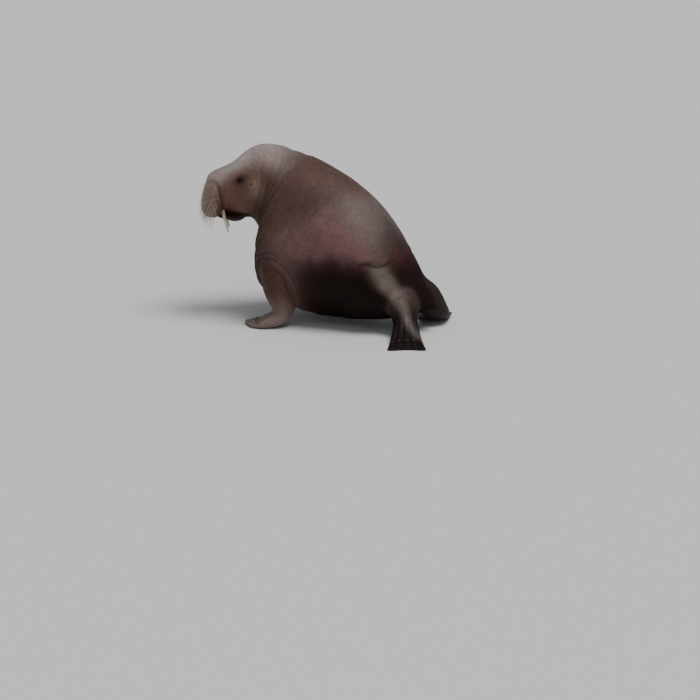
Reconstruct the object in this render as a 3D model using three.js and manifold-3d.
// A young walrus, life size, propped up on its fore flippers with its back arched and its
// hind flippers splayed behind it. Millimetres, +Z up, the animal faces -X, the floor is Z = 0.
// The body is one loft of rings from the snout to the tail, divided at flat cuts. The limbs are
// lofts that leave the body, and every sub-part stops 0.3 mm short of its neighbour.
import * as THREE from "three";
import { LoftGeometry } from "three/addons/geometries/LoftGeometry.js";
import { mergeVertices } from "three/addons/utils/BufferGeometryUtils.js";
import Module from "manifold-3d";

const wasm = await Module();
wasm.setup();

// Driving dimensions.
const bodyScale = 1; // 1 is an animal about 2.4 m long when stretched out
const touchGap = 0.3; // between neighbouring sub-parts
const headTurn = THREE.MathUtils.degToRad(25); // to the animal's left
const neckPivotX = -215;
const ringPoints = 32;
const upperPoints = 14; // of a limb's ring, and fewer on its underside
const lowerPoints = 8;

// Rings of the body from the snout to the tail, in the plane y = 0 and before the head turns.
// Each has its top and underside, its half width, how far up it is widest, and how boxy it is.
const bodyRings = [
  { name: "snout tip", top: [-770, 858], under: [-768, 762], half: 52, widest: 0.5, boxy: 0.1 },
  { name: "nose", top: [-748, 908], under: [-742, 722], half: 92, widest: 0.48, boxy: 0.15 },
  { name: "snout", top: [-694, 947], under: [-690, 694], half: 124, widest: 0.45, boxy: 0.15 },
  { name: "brow", top: [-600, 986], under: [-612, 664], half: 146, widest: 0.48, boxy: 0.12 },
  { name: "crown", top: [-506, 1064], under: [-535, 640], half: 178, widest: 0.46, boxy: 0.08 },
  { name: "poll", top: [-415, 1101], under: [-474, 618], half: 212, widest: 0.46, boxy: 0 },
  { name: "nape", top: [-310, 1090], under: [-443, 572], half: 252, widest: 0.46, boxy: 0 },
  { name: "neck", top: [-200, 1048], under: [-432, 492], half: 290, widest: 0.46, boxy: 0 },
  { name: "shoulder", top: [-78, 1012], under: [-432, 388], half: 322, widest: 0.46, boxy: 0 },
  { name: "withers", top: [42, 964], under: [-428, 270], half: 342, widest: 0.46, boxy: 0 },
  { name: "thorax", top: [165, 902], under: [-386, 170], half: 350, widest: 0.47, boxy: 0 },
  { name: "ribs", top: [285, 820], under: [-266, 92], half: 346, widest: 0.5, boxy: 0 },
  { name: "belly", top: [388, 712], under: [-92, 46], half: 334, widest: 0.54, boxy: 0.03 },
  { name: "loin", top: [474, 590], under: [88, 34], half: 310, widest: 0.58, boxy: 0.05 },
  { name: "hip", top: [552, 464], under: [276, 38], half: 266, widest: 0.6, boxy: 0.05 },
  { name: "rump", top: [626, 348], under: [454, 58], half: 204, widest: 0.6, boxy: 0.03 },
  { name: "tail root", top: [690, 258], under: [592, 98], half: 122, widest: 0.55, boxy: 0 },
  { name: "tail", top: [738, 196], under: [698, 130], half: 56, widest: 0.5, boxy: 0 },
  { name: "tail tip", top: [766, 164], under: [756, 150], half: 18, widest: 0.5, boxy: 0 },
];
const ringAt = (name) => bodyRings.findIndex((ring) => ring.name === name);
const lastRing = bodyRings.length - 1;

// Swellings and hollows: where along the body, degrees from the back line, their reach, height.
const swellings = [
  { at: 3.15, from: 48, along: 0.42, around: 20, height: 15 }, // brow ridge
  { at: 3.2, from: 92, along: 0.45, around: 20, height: -9 }, // hollow in front of the cheek
  { at: 4.2, from: 98, along: 0.6, around: 26, height: 15 }, // cheek
  { at: 2.1, from: 0, along: 0.6, around: 30, height: -8 }, // dip of the nose bridge
  { at: 4.75, from: 158, along: 0.4, around: 30, height: -12 }, // throat
  { at: 8.8, from: 92, along: 1.1, around: 30, height: 16 }, // shoulder blade
  { at: 9.8, from: 62, along: 0.8, around: 25, height: -10 }, // behind the shoulder blade
  { at: 9.3, from: 165, along: 0.9, around: 30, height: 14 }, // breast
  { at: 14.1, from: 108, along: 0.8, around: 30, height: 26 }, // thigh
  { at: 12.7, from: 112, along: 0.5, around: 24, height: -12 }, // flank in front of the thigh
];
// Folds of loose skin round the neck and breast: grooves across the body.
const folds = [
  { at: 5.25, depth: 9, near: 105, spread: 62 },
  { at: 5.95, depth: 12, near: 150, spread: 85 },
  { at: 6.65, depth: 13, near: 140, spread: 95 },
  { at: 7.4, depth: 12, near: 120, spread: 90 },
  { at: 8.15, depth: 9, near: 150, spread: 60 },
  { at: 12.2, depth: 8, near: 140, spread: 40 },
  { at: 13.3, depth: 13, near: 115, spread: 42 },
];
const foldHalfWidth = 0.17;

// A smooth curve through one value of every ring.
function curveOf(values) {
  const points = values.map((value) => new THREE.Vector3(value[0], 0, value[1]));
  return new THREE.CatmullRomCurve3(points, false, "catmullrom", 0.5);
}
const topLine = curveOf(bodyRings.map((ring) => ring.top));
const underLine = curveOf(bodyRings.map((ring) => ring.under));
const widths = curveOf(bodyRings.map((ring) => [ring.half, ring.widest * 100]));
const boxiness = curveOf(bodyRings.map((ring) => [ring.boxy * 100, 0]));

const smooth = (from, to, x) => THREE.MathUtils.smoothstep(x, from, to);
const bell = (x, width) => Math.exp(-((x / width) ** 2));

// How far the skin stands out from the plain ring at t, angle degrees from the back line.
function relief(t, angle) {
  const side = Math.abs(angle > 180 ? angle - 360 : angle);
  let out = 0;
  for (const s of swellings) out += s.height * bell(t - s.at, s.along) * bell(side - s.from, s.around);
  for (const f of folds) out -= f.depth * bell(t - f.at, foldHalfWidth) * bell(side - f.near, f.spread);
  return out;
}

// The head turns as a whole, and the neck shares the turn out between its rings.
const turnStart = ringAt("shoulder") + 0.4;
const turnEnd = ringAt("poll") + 0.2;
function turned(point, t) {
  const angle = headTurn * (1 - smooth(turnEnd, turnStart, t));
  const x = point.x - neckPivotX;
  return point.set(
    neckPivotX + x * Math.cos(angle) - point.y * Math.sin(angle),
    point.y * Math.cos(angle) + x * Math.sin(angle),
    point.z,
  );
}
const onHead = (x, y, z) => turned(new THREE.Vector3(x, y, z), 0);

// One point of the body's surface, grown outwards by grow.
function bodyPoint(t, angle, grow = 0) {
  const share = t / lastRing;
  const top = topLine.getPoint(share);
  const under = underLine.getPoint(share);
  const size = widths.getPoint(share);
  const square = 1 - boxiness.getPoint(share).x / 100;
  const centre = under.clone().lerp(top, size.z / 100);
  const radians = THREE.MathUtils.degToRad(angle);
  const up = Math.cos(radians);
  const out = Math.sin(radians);
  const spine = (up >= 0 ? top : under).clone().sub(centre);
  const raise = Math.abs(up) ** square;
  const spread = -Math.sign(out) * Math.abs(out) ** square * size.x;
  const reach = Math.hypot(spine.length() * raise, spread);
  const stretch = 1 + (relief(t, angle) + grow) / Math.max(reach, 1);
  const point = centre.clone().addScaledVector(spine, raise * stretch);
  point.y = spread * stretch;
  return turned(point, t);
}

// The flat ring at t, moved along the body by shift.
function bodyRing(t, grow, shift = 0) {
  const ring = [];
  for (let i = 0; i < ringPoints; i++) ring.push(bodyPoint(t, (360 * i) / ringPoints, grow));
  if (!shift) return ring;
  const across = ring[0].clone().sub(ring[ringPoints / 2]);
  const sideways = ring[ringPoints / 4].clone().sub(ring[(3 * ringPoints) / 4]);
  const along = new THREE.Vector3().crossVectors(across, sideways).normalize().multiplyScalar(shift);
  return ring.map((point) => point.add(along));
}

function solidOf(geometry) {
  const bare = new THREE.BufferGeometry();
  bare.setAttribute("position", geometry.attributes.position);
  bare.setIndex(geometry.index);
  const merged = mergeVertices(bare, 1e-3);
  const corners = merged.index.array;
  const kept = [];
  for (let i = 0; i < corners.length; i += 3) {
    const [a, b, c] = [corners[i], corners[i + 1], corners[i + 2]];
    if (a !== b && b !== c && a !== c) kept.push(a, b, c);
  }
  return new wasm.Manifold(
    new wasm.Mesh({
      numProp: 3,
      vertProperties: Float32Array.from(merged.attributes.position.array),
      triVerts: Uint32Array.from(kept),
    }),
  );
}

const joined = (first, others) => others.reduce((sum, solid) => sum.add(solid), first);

// The largest closed surface of a solid, which drops any loose scrap.
function largest(solid) {
  return solid.decompose().sort((a, b) => b.volume() - a.volume())[0];
}

function bodyLength(from, to, count, grow = 0, gap = touchGap / 2) {
  const rings = [];
  for (let i = 0; i <= count; i++) {
    const t = from + ((to - from) * i) / count;
    const shift = i === 0 ? gap : i === count ? -gap : 0;
    rings.push(bodyRing(t, grow, shift));
  }
  return solidOf(new LoftGeometry(rings, { capStart: true, capEnd: true }));
}

// A ball stretched to three half sizes, then turned and moved.
function ellipsoid(halves, centre, turns = [0, 0, 0], around = 16, high = 12) {
  const geometry = new THREE.SphereGeometry(1, around, high);
  const turn = new THREE.Quaternion().setFromEuler(new THREE.Euler(...turns));
  geometry.applyMatrix4(new THREE.Matrix4().compose(centre, turn, new THREE.Vector3(...halves)));
  return solidOf(geometry);
}

// A tapered spine of a few sides along a curve, with its root first. A tip of 0 is a point.
function spine(points, rootRadius, tipRadius, steps = 2, sides = 4) {
  const curve = new THREE.QuadraticBezierCurve3(...points);
  const sideways = new THREE.Vector3(0, 0, 1).cross(curve.getTangent(0.5)).normalize();
  const rings = [];
  for (let i = 0; i <= steps; i++) {
    const centre = curve.getPoint(i / steps);
    const along = curve.getTangent(i / steps);
    const a = sideways.clone().addScaledVector(along, -sideways.dot(along)).normalize();
    const b = along.clone().cross(a);
    const radius = THREE.MathUtils.lerp(rootRadius, tipRadius, i / steps);
    const ring = [];
    for (let k = 0; k < sides; k++) {
      const angle = (2 * Math.PI * k) / sides;
      const point = centre.clone().addScaledVector(a, radius * Math.cos(angle));
      ring.push(point.addScaledVector(b, radius * Math.sin(angle)));
    }
    rings.push(ring);
  }
  return solidOf(new LoftGeometry(rings, { capStart: true, capEnd: tipRadius > 0 }));
}

// Same numbers every time, between 0 and 1.
function seeded(seed) {
  let state = seed;
  return () => {
    state = (state * 16807) % 2147483647;
    return state / 2147483647;
  };
}

// A limb runs through five places: root, middle, wrist or ankle, knuckles and tip. Sizes are half
// widths across the limb and half thicknesses. Past the knuckles the digits fan out to the tip.
// The direction along a limb, eased over a bend so that neighbouring rings never cross.
function limbAlong(limb, share) {
  const sum = new THREE.Vector3();
  for (const offset of [-0.1, -0.05, 0, 0.05, 0.1]) {
    sum.add(limb.path.getTangent(THREE.MathUtils.clamp(share + offset, 0, 1)));
  }
  return sum.normalize();
}

function limbPoint(limb, p, turn, grow = 0) {
  const share = p / 4;
  const centre = limb.path.getPoint(share);
  const along = limbAlong(limb, share);
  const side = limb.side.clone().addScaledVector(along, -limb.side.dot(along)).normalize();
  const up = along.clone().cross(side);
  const size = limb.sizes.getPoint(share);
  const palm = smooth(1.7, 3, p);
  const level = 1 - 2 * (turn % 1);
  const above = turn < 1 ? 1 : -1;
  const across = THREE.MathUtils.lerp(Math.cos(Math.PI * (turn % 1)), level, palm) * above;
  const thick = Math.sqrt(Math.max(1 - across ** 2, 0)) ** (1 - 0.35 * palm) * above;
  const digit = 0.5 + 0.5 * Math.cos(Math.PI * 2 * ((across * 0.5 + 0.5) * 5 - 0.5));
  const ridge = 1 + palm * (above > 0 ? 0.5 : 0.1) * (digit - 0.5);
  const past = smooth(2.4, 4, p);
  const fall = limb.reach(across) + limb.web * (1 - digit) * smooth(3.4, 4, p);
  return centre
    .addScaledVector(side, across * (size.x + grow))
    .addScaledVector(up, thick * (size.z * ridge + grow))
    .addScaledVector(along, -fall * past);
}

// Places round a limb: 0 to 1 runs over its upper side, 1 to 2 back under it.
const limbTurns = [];
for (let i = 0; i < upperPoints; i++) limbTurns.push(i / upperPoints);
for (let i = 0; i < lowerPoints; i++) limbTurns.push(1 + i / lowerPoints);

function limbLength(limb, from, to, count, gapStart, gapEnd) {
  const rings = [];
  for (let i = 0; i <= count; i++) {
    const p = from + ((to - from) * i) / count;
    const shift = i === 0 ? gapStart : i === count ? -gapEnd : 0;
    const along = limbAlong(limb, p / 4).multiplyScalar(shift);
    rings.push(limbTurns.map((turn) => limbPoint(limb, p, turn).add(along)));
  }
  return solidOf(new LoftGeometry(rings, { capStart: true, capEnd: true }));
}

function makeLimb({ path, heading, sizes, reach, web }) {
  const ahead = new THREE.Vector3(Math.cos(heading), Math.sin(heading), 0);
  return {
    path: new THREE.CatmullRomCurve3(
      path.map((p) => new THREE.Vector3(...p)),
      false,
      "catmullrom",
      0.5,
    ),
    side: new THREE.Vector3(0, 0, 1).cross(ahead),
    sizes: curveOf(sizes),
    reach,
    web,
  };
}

const degrees = THREE.MathUtils.degToRad;
const soleHeight = 14; // of the middle of a flipper over the floor

// From the wrist or ankle, the two last places lie ahead along the heading.
function ahead(from, heading, distance, height) {
  return [from[0] + distance * Math.cos(heading), from[1] + distance * Math.sin(heading), height];
}

function foreLimb(mirror, headingDegrees, elbow, wrist) {
  const heading = degrees(headingDegrees) * mirror;
  const at = [wrist[0], wrist[1] * mirror, wrist[2]];
  return makeLimb({
    path: [
      [elbow[0] - 40, (elbow[1] - 120) * mirror, 470],
      [elbow[0], elbow[1] * mirror, elbow[2]],
      at,
      ahead(at, heading, 128, soleHeight + 6),
      ahead(at, heading, 266, soleHeight - 8),
    ],
    heading,
    sizes: [
      [166, 130],
      [134, 114],
      [98, 66],
      [110, 28],
      [98, 6.5],
    ],
    reach: (across) => 26 + 34 * across * mirror * -1 + 24 * across ** 2,
    web: 12,
  });
}

function hindLimb(mirror, headingDegrees, hip, ankle, length, knuckleHeight) {
  const heading = degrees(headingDegrees) * mirror;
  const root = [hip[0], hip[1] * mirror, hip[2]];
  const at = [ankle[0], ankle[1] * mirror, ankle[2]];
  const middle = [0.42 * root[0] + 0.58 * at[0], (root[1] + at[1]) / 2, (root[2] + at[2]) / 2];
  return makeLimb({
    path: [
      root,
      middle,
      at,
      ahead(at, heading, length * 0.45, knuckleHeight),
      ahead(at, heading, length, soleHeight - 9),
    ],
    heading,
    sizes: [
      [92, 84],
      [106, 88],
      [80, 52],
      [100, 26],
      [126, 6.5],
    ],
    reach: (across) => 34 * (1 - across ** 2),
    web: 16,
  });
}

const nearFore = foreLimb(-1, 164, [-202, 246, 270], [-172, 274, 84]);
const farFore = foreLimb(1, 150, [-206, 260, 270], [-176, 298, 84]);
const nearHind = hindLimb(-1, 64, [500, 66, 305], [640, 210, 100], 332, 26);
const farHind = hindLimb(1, 118, [545, 46, 282], [690, 146, 96], 318, 24);

const floorBlock = solidOf(new THREE.BoxGeometry(4000, 4000, 400).translate(0, 0, -200));
// Where along the rings each section of the body starts and ends, and its count of rings.
const sections = {
  head: [0, 5.05, 23],
  neck: [5.05, 7.6, 12],
  chest: [7.6, 10.6, 10],
  torso: [10.6, 13.05, 8],
  rump: [13.05, 16, 10],
  tail: [16, lastRing, 7],
};
const grownBody = Object.values(sections)
  .map(([from, to, count]) => bodyLength(from, to, count, 2 * touchGap, 0))
  .reduce((sum, solid) => sum.add(solid));

const materials = {
  skin: new THREE.MeshStandardMaterial({ color: 0x6b4a3c, roughness: 0.62, metalness: 0 }),
  face: new THREE.MeshStandardMaterial({ color: 0x7b5c50, roughness: 0.58, metalness: 0 }),
  flipper: new THREE.MeshStandardMaterial({ color: 0x4a3a35, roughness: 0.55, metalness: 0 }),
  ivory: new THREE.MeshStandardMaterial({ color: 0xe6dcc4, roughness: 0.35, metalness: 0 }),
  eye: new THREE.MeshStandardMaterial({ color: 0x1c100b, roughness: 0.1, metalness: 0 }),
};

// Eyes sit deep in lids that stand out a little from the head.
const eyeRadius = 18;
const eyeDepth = 13; // of the eyeball's middle under the plain skin
const eyeAt = { t: 3.64, angle: 70.5 };
function eyePlace(mirror) {
  const angle = mirror < 0 ? eyeAt.angle : 360 - eyeAt.angle;
  const skin = bodyPoint(eyeAt.t, angle);
  const out = skin.clone().sub(bodyPoint(eyeAt.t, angle, -60)).normalize();
  return { centre: skin.clone().addScaledVector(out, -eyeDepth), out };
}
const eyes = [-1, 1].map((mirror) => ({ mirror, ...eyePlace(mirror) }));
const eyeBall = (centre, grow) =>
  ellipsoid([eyeRadius + grow, eyeRadius + grow, eyeRadius + grow], centre, [0, 0, 0], 14, 10);

// The whisker pads are two cushions that make the front of the muzzle.
const pad = { halves: [72, 84, 122], at: [-720, 68, 770], lean: degrees(7), splay: degrees(15) };
function padPoint(mirror, longitude, latitude, out = 0) {
  const ring = Math.max(Math.cos(latitude), 0) ** 0.8;
  const rise = Math.sign(latitude) * Math.abs(Math.sin(latitude)) ** 0.9;
  const droop = 1 - 0.13 * rise;
  const local = new THREE.Vector3(
    -(pad.halves[0] + out) * ring * Math.cos(longitude) * droop,
    (pad.halves[1] + out) * ring * Math.sin(longitude) * mirror * droop,
    (pad.halves[2] + out) * rise,
  );
  local.applyEuler(new THREE.Euler(0, pad.lean, pad.splay * -mirror));
  return onHead(pad.at[0] + local.x, pad.at[1] * mirror + local.y, pad.at[2] + local.z);
}
const padRows = 12;
const padColumns = 18;
function padSolid(mirror, grow = 0) {
  const rows = [];
  for (let i = 0; i < padRows; i++) {
    const latitude = Math.PI * ((i + 0.35) / (padRows - 0.3) - 0.5);
    const row = [];
    for (let k = 0; k < padColumns; k++) {
      row.push(padPoint(mirror, (2 * Math.PI * k * -mirror) / padColumns, latitude, grow));
    }
    rows.push(row);
  }
  return solidOf(new LoftGeometry(rows, { capStart: true, capEnd: true }));
}

// A block that fills everything on one side of the head's middle plane.
function halfSpace(mirror) {
  const block = new THREE.BoxGeometry(600, 400, 600);
  block.translate(0, mirror * (200 - touchGap / 2), 0);
  block.rotateZ(headTurn);
  const { x, y } = onHead(-700, 0, 0);
  return solidOf(block.translate(x, y, 770));
}

// Whiskers grow in rows over the front and side of a pad, longest at its outer lower edge.
const whiskerRows = 7;
const whiskersInRow = 6;
const whiskerRadius = 1.5;
function whiskers(mirror) {
  const random = seeded(41 + mirror);
  const made = [];
  for (let row = 0; row < whiskerRows; row++) {
    const low = row / (whiskerRows - 1);
    for (let k = 0; k < whiskersInRow; k++) {
      const outer = (k + 0.5 * (row % 2)) / (whiskersInRow - 0.5);
      const longitude = THREE.MathUtils.lerp(-0.15, 1.35, outer) + 0.06 * (random() - 0.5);
      const latitude = THREE.MathUtils.lerp(0.55, -1.0, low) + 0.06 * (random() - 0.5);
      const length = (20 + 34 * outer + 22 * low * outer) * (0.85 + 0.3 * random());
      const root = padPoint(mirror, longitude, latitude, -9);
      const skin = padPoint(mirror, longitude, latitude, 0);
      const out = skin.clone().sub(root).normalize();
      const middle = root.clone().addScaledVector(out, 9 + length * 0.5);
      const tip = root.clone().addScaledVector(out, 9 + length * 0.9);
      tip.z -= length * (0.25 + 0.15 * low);
      made.push(spine([root, middle, tip], whiskerRadius, 0));
    }
  }
  return made;
}

// Tusks are short: those of an animal of three or four years.
const tusk = { root: [-668, 62, 742], tip: [-626, 76, 552], rootRadius: 14, tipRadius: 6.5 };
function tuskSolid(mirror, grow = 0) {
  const place = ([x, y, z]) => onHead(x, y * mirror, z);
  const root = place(tusk.root);
  const tip = place(tusk.tip);
  const middle = root.clone().lerp(tip, 0.55).add(new THREE.Vector3(-9, 0, 0));
  const steps = 5;
  const curve = new THREE.QuadraticBezierCurve3(root, middle, tip);
  const body = spine([root, middle, tip], tusk.rootRadius + grow, tusk.tipRadius + grow, steps, 10);
  const cap = ellipsoid(
    [tusk.tipRadius + grow, tusk.tipRadius + grow, tusk.tipRadius * 1.2 + grow],
    curve.getPoint(1),
    [0, 0, 0],
    10,
    6,
  );
  return body.add(cap);
}

// The lower jaw is narrow in front, where it lies between the tusks, and widens behind them.
const jawRings = [
  { x: -716, z: 672, half: 20, high: 10 },
  { x: -706, z: 666, half: 35, high: 22 },
  { x: -680, z: 658, half: 44, high: 31 },
  { x: -646, z: 653, half: 49, high: 34 },
  { x: -618, z: 650, half: 76, high: 38 },
  { x: -580, z: 652, half: 104, high: 42 },
  { x: -536, z: 668, half: 118, high: 42 },
  { x: -498, z: 700, half: 112, high: 34 },
];
function jawSolid() {
  const around = 22;
  const rings = jawRings.map(({ x, z, half, high }) =>
    Array.from({ length: around }, (_, k) => {
      const angle = (2 * Math.PI * k) / around;
      return onHead(x, -half * Math.sin(angle), z + high * Math.cos(angle));
    }),
  );
  return solidOf(new LoftGeometry(rings, { capStart: true, capEnd: true }));
}

// Nails lie on the upper side of each digit, short of its tip.
function nails(limb, from, length, radius) {
  const made = [];
  for (let k = 0; k < 5; k++) {
    const turn = 0.1 + 0.2 * k;
    const root = limbPoint(limb, from, turn, -2);
    const end = limbPoint(limb, from + 0.28, turn, 1);
    const along = end.clone().sub(root).normalize();
    const tip = root.clone().addScaledVector(along, length);
    tip.z += 2;
    const middle = root.clone().lerp(tip, 0.5);
    middle.z += 3;
    made.push(spine([root, middle, tip], radius, radius * 0.35, 2, 5));
  }
  return made;
}

const solids = {};

const pads = [-1, 1].map((mirror) => padSolid(mirror));
const tusks = [-1, 1].map((mirror) => tuskSolid(mirror));
const jaw = jawSolid();

let head = bodyLength(...sections.head, 0);
for (const { mirror, centre, out } of eyes) {
  const facing = Math.atan2(out.y, out.x);
  const rise = Math.asin(out.z);
  const turn = [0, -rise, facing];
  const lid = ellipsoid([26, 31, 24], centre.clone().addScaledVector(out, -1), turn, 14, 10);
  const slit = ellipsoid([15, 19, 11], centre.clone().addScaledVector(out, 23), turn, 14, 8);
  head = head.add(lid).subtract(slit).subtract(eyeBall(centre, touchGap));
  // A nostril is a slanted slit at the top of the muzzle, above the pads.
  const nostril = onHead(-757, 30 * mirror, 893);
  const slant = [0.5 * mirror, 0.75, headTurn + 0.35 * mirror];
  head = head.subtract(ellipsoid([26, 7, 12], nostril, slant, 12, 7));
  // The ear is a small hole well behind the eye, with a fold of skin in front of it.
  const angle = mirror < 0 ? 80 : 280;
  head = head.add(ellipsoid([9, 8, 14], bodyPoint(4.36, angle, -3), [0, 0.5, headTurn], 10, 8));
  head = head.subtract(ellipsoid([5, 12, 8], bodyPoint(4.44, angle), [0, 0.5, headTurn], 10, 8));
}

const padHoles = [-1, 1].map((mirror) => padSolid(mirror, touchGap));
const tuskHoles = [-1, 1].map((mirror) => tuskSolid(mirror, touchGap));
for (const hole of [...padHoles, ...tuskHoles]) head = head.subtract(hole);

solids.head = head;
for (const name of ["neck", "chest", "torso", "rump", "tail"]) solids[name] = bodyLength(...sections[name]);

const sides = [
  { mirror: -1, word: "left", fore: nearFore, hind: nearHind },
  { mirror: 1, word: "right", fore: farFore, hind: farHind },
];
const wristAt = 2.05;
for (const [i, { mirror, word, fore, hind }] of sides.entries()) {
  solids["eye_" + word] = eyeBall(eyes[i].centre, 0);
  const cushion = pads[i].subtract(halfSpace(-mirror)).subtract(tuskHoles[i]);
  solids["whisker_pad_" + word] = largest(joined(cushion, whiskers(mirror)));
  solids["tusk_" + word] = tusks[i];
  solids["fore_arm_" + word] = limbLength(fore, 0, wristAt, 9, 0, touchGap / 2).subtract(grownBody);
  solids["fore_flipper_" + word] = joined(
    limbLength(fore, wristAt, 3.98, 11, touchGap / 2, 0),
    nails(fore, 3.3, 15, 4),
  );
  solids["hind_leg_" + word] = limbLength(hind, 0, wristAt, 9, 0, touchGap / 2).subtract(grownBody);
  solids["hind_flipper_" + word] = joined(
    limbLength(hind, wristAt, 3.98, 11, touchGap / 2, 0),
    nails(hind, 3.3, 20, 4.5),
  );
}
// The mouth is the opening between the jaw and the head, from its corners forwards.
const mouthGap = 4;
const mouthCorner = 3.7;
const overJaw = [
  bodyLength(0, mouthCorner, 20, mouthGap, 0),
  grownBody,
  ...padHoles,
  ...tuskHoles,
];
solids.lower_jaw = largest(overJaw.reduce((rest, cutter) => rest.subtract(cutter), jaw));

// Everything stands on the floor on small flats.
const finish = {
  skin: ["neck", "chest", "torso", "rump", "tail", "fore_arm", "hind_leg"],
  face: ["head", "whisker_pad", "lower_jaw"],
  flipper: ["fore_flipper", "hind_flipper"],
  ivory: ["tusk"],
  eye: ["eye"],
};
function finishOf(name) {
  return Object.keys(finish).find((key) => finish[key].some((start) => name.startsWith(start)));
}

const walrus = new THREE.Group();
for (const [name, solid] of Object.entries(solids)) {
  const whole = largest(solid.subtract(floorBlock));
  const { vertProperties, triVerts, numProp } = whole.getMesh();
  const positions = new Float32Array((vertProperties.length / numProp) * 3);
  for (let i = 0; i < positions.length / 3; i++)
    positions.set(vertProperties.subarray(i * numProp, i * numProp + 3), i * 3);
  const geometry = new THREE.BufferGeometry();
  geometry.setAttribute("position", new THREE.BufferAttribute(positions, 3));
  geometry.setIndex(new THREE.BufferAttribute(triVerts, 1));
  const mesh = new THREE.Mesh(geometry, materials[finishOf(name)]);
  mesh.name = name;
  walrus.add(mesh);
}
walrus.scale.setScalar(bodyScale);

// The origin is on the floor, at the middle of the whole animal's box.
const box = new THREE.Box3().setFromObject(walrus);
const middle = box.getCenter(new THREE.Vector3());
walrus.position.set(-middle.x, -middle.y, -box.min.z);

export default walrus;
